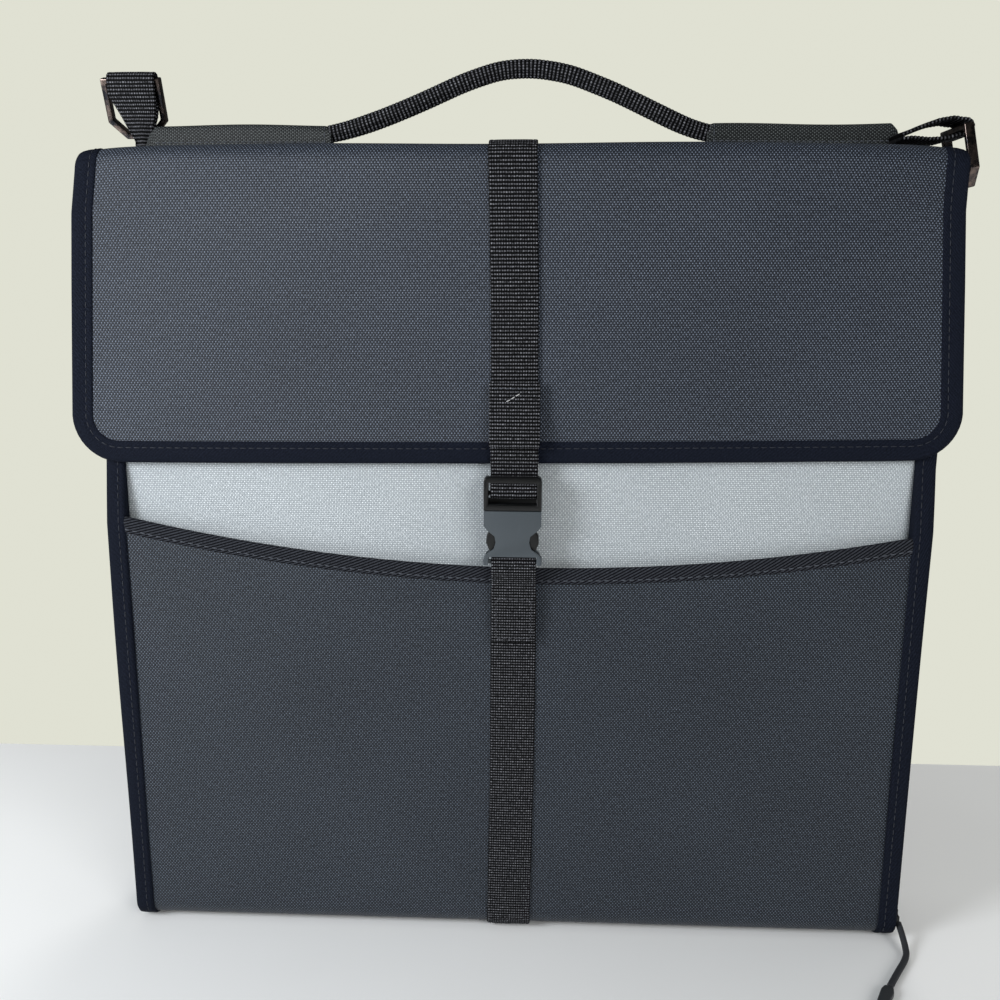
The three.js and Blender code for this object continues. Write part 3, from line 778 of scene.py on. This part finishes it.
def add_leaf_trim(side_name, sign):
    """Binding down one side of the leaf, from the top to under the roll, with its stitch line."""
    low = ROLL_Z - (ROLL_Z - 0.3) * np.sin(np.radians(np.linspace(90, 0, 14)))
    z = np.concatenate([low, np.linspace(ROLL_Z, LEAF_TOP, 290)[1:]])
    face = leaf_face(z) + 0.25 * np.sin(z / 31 + sign)
    outer = HALF + 0.3 * np.sin(z / 47 + 2 * sign) - np.clip(6 - z, 0, 6) ** 2 * 0.03
    inner = INNER_HALF - 0.2
    loops = []
    for level, front, deep, edge in zip(z, face, TAPE_HIGH[1] - face, outer):
        ease = min(1.6, deep * 0.3)
        lip = min(1.3, deep * 0.2)
        sewn = ((0, lip), (0.5, 0.3), (2.2, 0), (3.7, 0.25), (5.2, 0))
        loop = [(inner + across, front + deeper) for across, deeper in sewn]
        loop += [(edge - 2.2, front + 0.15), (edge - 0.8, front + 0.35 * ease), (edge, front + ease)]
        loop += [(edge, front + deep * 0.6), (edge - 0.4, front + deep), (inner, front + deep)]
        loops.append([(sign * across, y, level) for across, y in loop])
    loops = np.array(loops)
    round_it = lengths(np.concatenate([loops[100], loops[100, :1]]))
    made = loft(f"leaf_trim_{side_name}", loops, flat_map(round_it, z[:, None]), TAPE)
    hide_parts(f"leaf_binding_{side_name}")
    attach(made, "front_leaf")
    seam = np.stack([np.full_like(z, sign * (inner + 3.7)), face + 0.1, z], axis=1)[8:]
    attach(stitches(f"leaf_trim_stitches_{side_name}", [(seam, to_front(seam))]), "front_leaf")


def add_leaf_inside():
    low, high = corners("front_lining")
    rows = np.linspace(high[2], low[2], 90)
    made = flat_cloth("leaf_inner_lining", rows, 80, high[0], high[1], INNER_CLOTH, LINING, 1)
    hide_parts("front_lining")
    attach(made, "front_leaf")


# Shell
def add_gusset(side_name, sign):
    """One side wall, pulled in a little between its bound edges."""
    low, high = corners(f"{side_name}_gusset")
    depth = np.linspace(low[1], high[1], 16)
    z = np.linspace(high[2], low[2], 150)[:, None]
    bulge = 1 - np.linspace(-1, 1, len(depth)) ** 2
    sag = bulge * (1.0 + 0.8 * ripple(depth, z, 45, sign))
    front = grid(sign * (max(abs(low[0]), abs(high[0])) - sag), depth, z)
    made = cloth_sheet(f"{side_name}_wall", front, CLOTH, front[..., [1, 2]], CHARCOAL, always(-sign, 0, 0))
    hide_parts(f"{side_name}_gusset")
    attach(made, "shell")


def add_top_wall():
    low, high = corners("top_gusset")
    x = np.linspace(low[0], high[0], 120)
    depth = np.linspace(low[1], high[1], 14)[:, None]
    front = grid(x, depth, high[2] - 0.1 - 0.15 * ripple(x, depth, 40, 0.4))
    made = cloth_sheet("top_wall", front, CLOTH, front[..., [0, 1]], CHARCOAL, always(0, 0, -1))
    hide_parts("top_gusset")
    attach(made, "shell")


def add_back():
    rows = np.linspace(BACK_HIGH[2] + 1, BACK_LOW[2] - 1, 120)
    reach = BACK_HIGH[0] + 1
    cover = flat_cloth("back_cloth", rows, 110, reach, BACK_HIGH[1], CLOTH, CHARCOAL, 1, hills=0.6)
    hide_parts("back_cover")
    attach(cover, "shell")
    low, high = corners("back_lining")
    inside = flat_cloth("back_inner_lining", rows, 110, high[0], low[1], INNER_CLOTH, LINING, -1)
    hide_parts("back_lining")
    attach(inside, "shell")


def add_back_trim():
    """Binding tape round the whole edge of the back, mitred by its own bend at each corner."""
    low, high = corners("back_binding_left")
    top = corners("back_binding_top")[1][2]
    bottom = corners("back_binding_bottom")[0][2]
    corner = 6
    wide = -low[0] - corner
    outline = []
    for x, z, first in (
        (wide, top - corner, 0), (-wide, top - corner, 90),
        (-wide, bottom + corner, 180), (wide, bottom + corner, 270),
    ):
        outline += [(a, 0, b) for a, b in arc((x, z), corner, first, first + 90, 10)]
    outline.append(outline[0])
    path, _ = resampled(outline, 2.0)
    path = path[:-1]
    path[:, 1] = (low[1] + high[1]) / 2
    out = to_back(path)
    side = np.cross(tangents(path, ring=True), out)
    centre = np.array([0, path[0, 1], (top + bottom) / 2])
    side *= np.sign((side * (centre - path)).sum(axis=1))[:, None]
    deep = (high[1] - low[1]) / 2
    outer = [(0, 0.0), (0.1, deep - 1.4), (0.9, deep - 0.4), (2.4, deep), (5.2, deep), (6.2, deep - 0.2)]
    hem = [(7.4, deep), (8.8, deep - 0.2), (9.2, deep - 0.8)]
    inner = [(6.0, -deep + 0.4), (2.0, -deep), (0.6, -deep + 0.5)]
    made = swept("back_trim", path, out, side, np.array(outer + hem + inner), TAPE, ring=True)
    names = [f"back_binding_{where}" for where in ("left", "right", "top", "bottom")]
    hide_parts(*names)
    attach(made, "shell")
    seam = path + np.array([0, deep - 0.1, 0]) + side * 6.2
    seam = np.concatenate([seam, seam[:1]])
    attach(stitches("back_trim_stitches", [(seam, to_back(seam))]), "shell")


# Zip
def add_zip(owner, body, toward):
    """One half of the zip up both sides and across the top: its tape and its row of teeth."""
    low, high = corners(f"{owner}_zip_top")
    foot = corners(f"{owner}_zip_right")[0][2]
    wide = high[0] - 1.3
    top = high[2] - 1.3
    y = (low[1] + high[1]) / 2
    path, _ = resampled([(-wide, y, foot), (-wide, y, top), (wide, y, top), (wide, y, foot)], 2.0)
    ahead = tangents(path)
    side = to_back(path)
    out = np.cross(ahead, side)
    out *= np.sign((out * (path - np.array([0, y, 200]))).sum(axis=1))[:, None]
    deep = (high[1] - low[1]) / 2
    half = [(deep - 0.3, 0.45), (deep, 0.25), (deep, -0.9)]
    section = np.array([(-a, b) for a, b in half[::-1]] + half)
    tape = swept(f"{owner}_zip_tape", path, out, side, section, ZIP_TAPE)
    names = [f"{owner}_zip_{where}" for where in ("left", "right", "top")]
    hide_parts(*names)
    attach(tape, body)
    add_teeth(owner, body, toward, path, ahead, out, deep - 0.25)


def add_teeth(owner, body, toward, path, ahead, out, reach):
    """A row of tapered teeth along the edge of the zip's tape, each a box that narrows to its tip."""
    pitch = 1.55
    box = [(a, b, c) for c in (-1, 1) for a, b in ((-1, -1), (1, -1), (1, 1), (-1, 1))]
    sides = [(0, 1, 2, 3), (4, 5, 6, 7), (0, 1, 5, 4), (1, 2, 6, 5), (2, 3, 7, 6), (3, 0, 4, 7)]
    along = lengths(path)
    points = []
    faces = []
    for number in range(len(resampled(path, pitch)[0]) - 1):
        middle = (number + (0.25 if toward > 0 else 0.75)) * pitch
        centre = points_at(path, along, middle)
        nearest = min(int(middle / 2.0), len(path) - 1)
        start = len(points)
        for a, b, c in box:
            taper = 0.62 if c * toward > 0 else 1.0
            lifted = out[nearest] * (0.75 + 0.45 * b * taper)
            deeper = np.array([0, toward * reach + 0.62 * c, 0])
            points.append(centre + ahead[nearest] * a * 0.45 * taper + lifted + deeper)
        faces.extend([[start + k for k in face] for face in sides])
    points = np.array(points)
    teeth = piece(f"{owner}_zip_teeth", points, faces, points[:, [0, 2]], faces, ZIP_PLASTIC)
    teeth.data.polygons.foreach_set("use_smooth", [False] * len(teeth.data.polygons))
    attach(teeth, body)


# Webbing
def sway(z):
    """How far the strap wanders from the middle of the case at a height."""
    return np.interp(z, [0, 100, 200, 300, 368, 440], [-1.4, 0.2, 0.7, 0.6, 0.3, -1.2])


def ribbon(name, line, width=WEB_WIDTH, thickness=WEB_THICKNESS, shift=None, pitch=RIB_PITCH):
    """Ribbed webbing along a line of (y, z) points, lying flat across X."""
    path = rounded(line, pitch / 4, 1.6)
    along = lengths(path)
    half = [(0, 1), (0.4, 1), (0.76, 0.9), (0.8, 0.72), (0.84, 0.9), (0.93, 0.9), (0.985, 0.62), (1, 0.1)]
    over = [(-share, full) for share, full in half[:0:-1]] + half
    rib = np.abs(np.sin(math.pi * along / pitch)) ** 0.7
    grain = 0.04 * np.sin(along * 2.3) * np.cos(along / 3.1)
    half_depth = thickness / 2 - 0.22 + 0.4 * rib + grain
    ahead = tangents(path)
    out = np.stack([-ahead[:, 1], ahead[:, 0]], axis=1)
    centre = sway(path[:, 1]) if shift is None else shift
    reach = width / 2 * (0.99 + 0.016 * rib)
    round_it = [(share, full) for share, full in over] + [(share, -full) for share, full in over[::-1]]
    loops = np.zeros((len(path), len(round_it), 3))
    for column, (share, full) in enumerate(round_it):
        loops[:, column, 0] = centre + reach * share
        loops[:, column, 1:] = path + out * (full * half_depth)[:, None]
    flat_row = np.array([share for share, _ in round_it + round_it[:1]]) * width / 2
    flat = flat_map(flat_row, along[:, None] * RIB_PITCH / pitch)
    made = loft(name, loops, flat, WEBBING, strip_caps=True)
    return made


def strap_stitches(name, runs, body, material, pitch=3.0):
    """Straight runs of stitches on webbing, each from one (x, y, z) to another, facing the front."""
    paths = [np.linspace(start, end, 12) for start, end in runs]
    sewn = stitches(name, [(path, to_front(path)) for path in paths], pitch, 2.3, 0.28, material)
    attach(sewn, body)


def add_upper_webbing():
    """The strap over the top and down the flap. It settles with the cloth but keeps to the middle."""
    line = fold_line(1.0, corners("top_strap")[1][1], corners("flap_strap")[0][2])
    made = ribbon("upper_webbing", line)
    moved(made, flap_settle)
    moved(made, lambda points: points - flap_shift(points[:, 2:]) * np.array([1, 0, 0]))
    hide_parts("top_strap", "flap_strap")
    fold_blend(made)


def add_lower_webbing():
    roll = arc((ROLL_Y, ROLL_Z), ROLL_RADIUS + 1.0, 270, 180, 14)
    top = corners("lower_strap")[1][2] + 4
    line = [(corners("base_strap")[1][1], roll[0][1]), *roll, (roll[-1][0], top)]
    made = ribbon("lower_webbing", line, pitch=LOWER_PITCH)
    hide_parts("base_strap", "lower_strap")
    base_blend(made)


def add_back_webbing():
    low, high = corners("back_strap")
    middle = (low[1] + high[1]) / 2
    line = [(middle, low[2]), (middle + 0.2, 150), (middle, 300), (middle, high[2] + 0.6)]
    made = ribbon("back_webbing", line)
    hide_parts("back_strap")
    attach(made, "shell")


def add_buckle_webbing():
    """The short webbing through the socket's bar, sewn down over itself with a box of stitches."""
    low, high = corners("buckle_loop")
    foot = low[2]
    bar_z = high[2] - 2.9
    bend = arc((BUCKLE_Y, bar_z), 2.4, 10, 170, 12)
    behind = [(-29.3, foot), (-29.3, bar_z - 13), (-29.8, bar_z - 9), (-30.5, bar_z - 4.6)]
    over = [(-35.2, bar_z - 5.6), (-31.4, bar_z - 12.6), (-31.1, foot)]
    line = behind + bend + over
    made = ribbon("buckle_webbing", line, width=24, thickness=1.15, pitch=LOWER_PITCH)
    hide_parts("buckle_loop")
    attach(made, "front_leaf")
    face = -31.9
    upper, lower = bar_z - 22, foot + 2.2
    left, right = -8.8, 10.2
    runs = [((left, face, z), (right, face, z)) for z in (upper, lower)]
    runs += [((x, face, upper), (x, face, lower)) for x in (left, right)]
    strap_stitches("buckle_webbing_stitches", runs, "front_leaf", WEB_THREAD)


def add_strap_end_webbing():
    """The adjustable end: down from the flap, round the plug's crossbar, and the sewn tail over it."""
    low, high = corners("strap_loop")
    bar_z = low[2] + 3.0
    above = [(-28.75, high[2]), (-28.75, bar_z + 31), (-30.2, bar_z + 17.2), (-30.75, bar_z + 9.2)]
    line = above + arc((BUCKLE_Y, bar_z), 2.35, 0, -180, 12) + [(-35.45, high[2] - 51.8)]
    made = ribbon("plug_webbing", line, width=25.4, thickness=1.3)
    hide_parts("strap_loop")
    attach(made, "strap_end")
    low, high = corners("strap_tail")
    line = [(-30.9, high[2]), (-31.2, high[2] - 15), (-33.0, low[2] + 3), (-33.6, low[2] - 0.5)]
    tail = ribbon("tail_webbing", line, width=26.8, thickness=1.6)
    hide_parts("strap_tail")
    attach(tail, "strap_end")
    hem = high[2] - 3
    strap_stitches("tail_stitches", [((-11, -32, hem), (11, -32, hem))], "strap_end", GREY_THREAD)
    bent = (-1.5, -32.5, hem - 5.6)
    frayed = [((-4, -32.2, hem - 7), bent), (bent, (3.5, -32.3, hem - 2.5))]
    strap_stitches("loose_thread", frayed, "strap_end", PALE_THREAD, pitch=2.2)


# Top fittings
def add_sleeve(side_name, sign):
    """Cloth folded over the handle's end and sewn along the ridge, higher than it is thick."""
    low, high = corners(f"{side_name}_handle_sleeve")
    inner, outer = (low[0], high[0]) if sign > 0 else (-high[0], -low[0])
    x = np.linspace(inner - 1.5, outer + 3, 110)
    ridge_y = (low[1] + high[1]) / 2
    foot = low[2] - 0.8
    loops = []
    for across in x:
        top = high[2] - 0.5 + 0.5 * math.sin(across / 17 + sign)
        top -= np.interp(across, [outer - 3, outer, outer + 3], [0, 3, 11])
        top -= np.interp(across, [inner - 1.5, inner + 2], [1.2, 0])
        swell = 1.0 + 0.45 * math.exp(-((across - inner) / 16) ** 2)
        profile = [
            (0, 3.6), (0.08, 2.7), (0.2, 1.9), (0.42, 2.1 * swell),
            (0.7, 2.35 * swell), (0.88, 2.0 * swell), (0.97, 1.2), (1.0, 0.4),
        ]
        front = [(sign * across, ridge_y - wide, foot + (top - foot) * height) for height, wide in profile]
        loops.append(front + [(a, 2 * ridge_y - b, c) for a, b, c in front[::-1]])
    loops = np.array(loops)
    round_it = lengths(np.concatenate([loops[40], loops[40, :1]]))
    made = loft(f"{side_name}_sleeve", loops, flat_map(round_it, x[:, None]), SLEEVE)
    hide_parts(f"{side_name}_handle_sleeve")
    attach(made, "shell")
    runs = [
        (line, to_front(line))
        for line in (loops[3:-6, 3] - np.array([0, 0.1, 0]), loops[4, 1:7] - np.array([0, 0.05, 0]))
    ]
    sewn = stitches(f"{side_name}_sleeve_stitches", runs, pitch=3.4, length=2.6, material=GREY_THREAD)
    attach(sewn, "shell")


def add_handle():
    """A tube of ribbed webbing sewn along its lower front, flatter where it enters the sleeves."""
    route = [
        (-104, 456.6), (-101, 457), (-88, 460.3), (-72, 465.6), (-53, 473), (-28.5, 483.5), (-9, 489.6),
        (9, 490.4), (28, 487.3), (52, 478.2), (77, 466.6), (90, 460.6), (101, 457), (104, 456.6),
    ]
    low, high = corners("handle_grip")
    path = rounded([(x, (low[1] + high[1]) / 2, z) for x, z in route], 0.5, 14)
    along = lengths(path)
    side = to_front(path)
    out = np.cross(side, tangents(path))
    pitch = 2.1
    rib = 1 + 0.07 * np.abs(np.sin(math.pi * along / pitch)) ** 0.8
    ends = np.clip(np.minimum(along, along[-1] - along) / 22, 0, 1)
    turns = np.linspace(0, 2 * math.pi, 29)[:-1]
    seam_at = math.radians(322)
    loops = np.zeros((len(path), len(turns), 3))
    for j, turn in enumerate(turns):
        groove = 0.9 * math.exp(-((turn - seam_at) / 0.16) ** 2)
        deep = ((3.1 + 0.9 * ends) * rib - groove) * math.cos(turn)
        tall = ((4.4 + 0.3 * ends) * rib - groove) * math.sin(turn)
        loops[:, j] = path + side * deep[:, None] + out * tall[:, None]
    flat = flat_map(np.linspace(0, 27, len(turns) + 1), along[:, None] * RIB_PITCH / pitch)
    made = loft("handle_webbing", loops, flat, WEBBING)
    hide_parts("handle_grip")
    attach(made, "handle")


def add_left_tab():
    """Webbing folded round the left ring's bar, gathered to a narrow root in the seam."""
    foot = corners("left_ring_tab")[0][2]
    x, y, z = LEFT_BAR
    line = [(y + 0.9, foot), (y + 1.0, 453), (y + 2.4, 470), *arc((y, z), 3.9, -20, 200, 16)]
    line += [(y - 2.4, 470), (y - 1.0, 453), (y - 0.9, foot)]
    made = ribbon("left_tab_webbing", line, thickness=1.3, shift=0.0)

    def gathered(points):
        height = points[:, 2]
        left = np.interp(height, [446, 453, 466, 477], [-213, -212.6, -219.2, x - 12.2])
        right = np.interp(height, [446, 453, 466, 475], [-205, -204, -200.2, x + 14.2])
        share = (points[:, 0] / (WEB_WIDTH / 2) + 1) / 2
        points[:, 0] = left + (right - left) * share
        gather = np.clip((472 - height) / 20, 0, 1)
        points[:, 1] += gather * 0.9 * np.sin(share * 9.0) + 0.25 * np.sin(height / 3.7)
        return points

    moved(made, gathered)
    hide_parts("left_ring_tab")
    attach(made, "shell")


def add_right_tab():
    """Webbing that arcs out over the right corner and folds round the ring's bar."""
    x, y, z = RIGHT_BAR
    line = [(199.5, 452.6), (205.5, 454.8), (212, 457.5), (219, 459.9), (226, 461)]
    line += arc((x, z), 3.9, 105, -115, 16)
    line += [(223, 450.9), (214, 450.4), (205.5, 451.2), (199.5, 450.6)]
    made = ribbon("right_tab_webbing", line, thickness=1.9, shift=0.0)
    moved(made, lambda points: points[:, [1, 0, 2]] * np.array([1, 0.96, 1]) + np.array([0, y, 0]))
    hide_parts("right_ring_tab")
    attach(made, "shell")


# Small hard parts
def add_hard_parts():
    softened("buckle_socket", 0.8, PLASTIC, segments=3)
    for node in ("buckle_plug", "left_prong", "right_prong"):
        softened(node, 0.6, DARK_PLASTIC, segments=3)
    for node in ("left_ring", "right_ring"):
        softened(node, 0.6, STEEL, segments=3)
    softened("zip_slider", 0.7, ZIP_PLASTIC)
    for node in ("back_board", "front_board", "flap_board"):
        frame["nodes"][node].data.materials.clear()
        frame["nodes"][node].data.materials.append(BOARD)


# Pull cord
def add_pull_cord():
    route = [
        (227.9, -21.9, 9.4), (227.9, -25.5, 8.4), (228, -30, 6), (227.9, -35, 3.5), (226.9, -40.5, 2.2),
        (223.4, -46.5, 1.9), (218, -54, 1.9), (212.4, -62, 1.9), (207.6, -69, 1.9),
    ]
    path = rounded(route, 1.0, 4)
    ahead = tangents(path)
    side = np.cross(ahead, np.array([0.0, 0.0, 1.0]))
    side /= np.linalg.norm(side, axis=1)[:, None]
    out = np.cross(side, ahead)
    section = np.array(arc((0, 0), 1.8, 0, 360, 15)[:-1])
    made = swept("zip_pull_cord", path, side, out, section, CORD)
    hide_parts("pull_cord")
    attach(made, "zip_pull")
    grip = softened("pull_grip", 0.9, RUBBER, segments=3)


# Room
def add_floor():
    """A pale table top that ends a little way behind the case."""
    behind = 0.205
    mesh = bpy.data.meshes.new("floor")
    corners_xy = [(-1.6, -2.2), (1.6, -2.2), (1.6, behind), (-1.6, behind)]
    top = [(x, y, -0.0003) for x, y in corners_xy]
    under = [(x, y, -0.02) for x, y in corners_xy]
    sides = [[k, (k + 1) % 4, 4 + (k + 1) % 4, 4 + k] for k in range(4)]
    mesh.from_pydata(top + under, [], [[0, 1, 2, 3], [7, 6, 5, 4]] + sides)
    mesh.materials.append(pale_floor())
    floor = bpy.data.objects.new("floor", mesh)
    bpy.context.scene.collection.objects.link(floor)


def add_lamp(name, place, size, power, colour, aim=(0, 0, 0.22), gleam=True):
    """A round soft lamp; gleam says whether glossy surfaces mirror it."""
    data = bpy.data.lights.new(name, "AREA")
    data.shape = "DISK"
    data.size = size
    data.energy = power
    data.color = colour
    lamp = bpy.data.objects.new(name, data)
    lamp.location = place
    lamp.visible_glossy = gleam
    lamp.rotation_euler = (Vector(aim) - Vector(place)).to_track_quat("-Z", "Y").to_euler()
    bpy.context.scene.collection.objects.link(lamp)


def light_room():
    """A cream room with a soft window on the left. Glossy surfaces mirror it more dimly."""
    brightness, mirrored_loss = 0.42, 0.34
    world = bpy.data.worlds.new("room")
    world.use_nodes = True
    tree = world.node_tree
    seen = tree.nodes["Background"]
    seen.inputs["Color"].default_value = (0.745, 0.75, 0.65, 1)
    lit = tree.nodes.new("ShaderNodeBackground")
    lit.inputs["Color"].default_value = (0.80, 0.82, 0.80, 1)
    dimmer = tree.nodes.new("ShaderNodeMath")
    dimmer.operation = "MULTIPLY_ADD"
    dimmer.inputs[1].default_value = -mirrored_loss
    dimmer.inputs[2].default_value = brightness
    choose = tree.nodes.new("ShaderNodeMixShader")
    ray = tree.nodes.new("ShaderNodeLightPath")
    for source, socket in (
        (ray.outputs["Is Glossy Ray"], dimmer.inputs[0]),
        (dimmer.outputs[0], lit.inputs["Strength"]),
        (ray.outputs["Is Camera Ray"], choose.inputs[0]),
        (lit.outputs[0], choose.inputs[1]),
        (seen.outputs[0], choose.inputs[2]),
        (choose.outputs[0], tree.nodes["World Output"].inputs["Surface"]),
    ):
        tree.links.new(source, socket)
    bpy.context.scene.world = world
    bpy.context.scene.view_settings.view_transform = "Standard"
    add_lamp("window", (-0.78, -0.58, 0.56), 0.4, 8.5, (0.94, 0.97, 1.0))
    add_lamp("fill", (1.0, -1.5, 0.9), 1.0, 15, (1.0, 0.99, 0.97), gleam=False)
    add_lamp("back_fill", (0.6, 1.8, 1.2), 1.2, 14, (1.0, 0.98, 0.95), gleam=False)


# Build
add_camera()
add_pull_cord()
add_flap_cover()
add_flap_trim()
add_flap_inside()
add_grey_panel()
add_pocket_cloth()
add_pocket_tape()
add_leaf_inside()
for side_name, sign in (("left", -1), ("right", 1)):
    add_leaf_trim(side_name, sign)
    add_gusset(side_name, sign)
    add_sleeve(side_name, sign)
add_top_wall()
add_back()
add_back_trim()
add_zip("rear", "shell", -1)
add_zip("front", "front_leaf", 1)
add_upper_webbing()
add_lower_webbing()
add_back_webbing()
add_buckle_webbing()
add_strap_end_webbing()
add_handle()
add_left_tab()
add_right_tab()
add_hard_parts()
add_floor()
light_room()
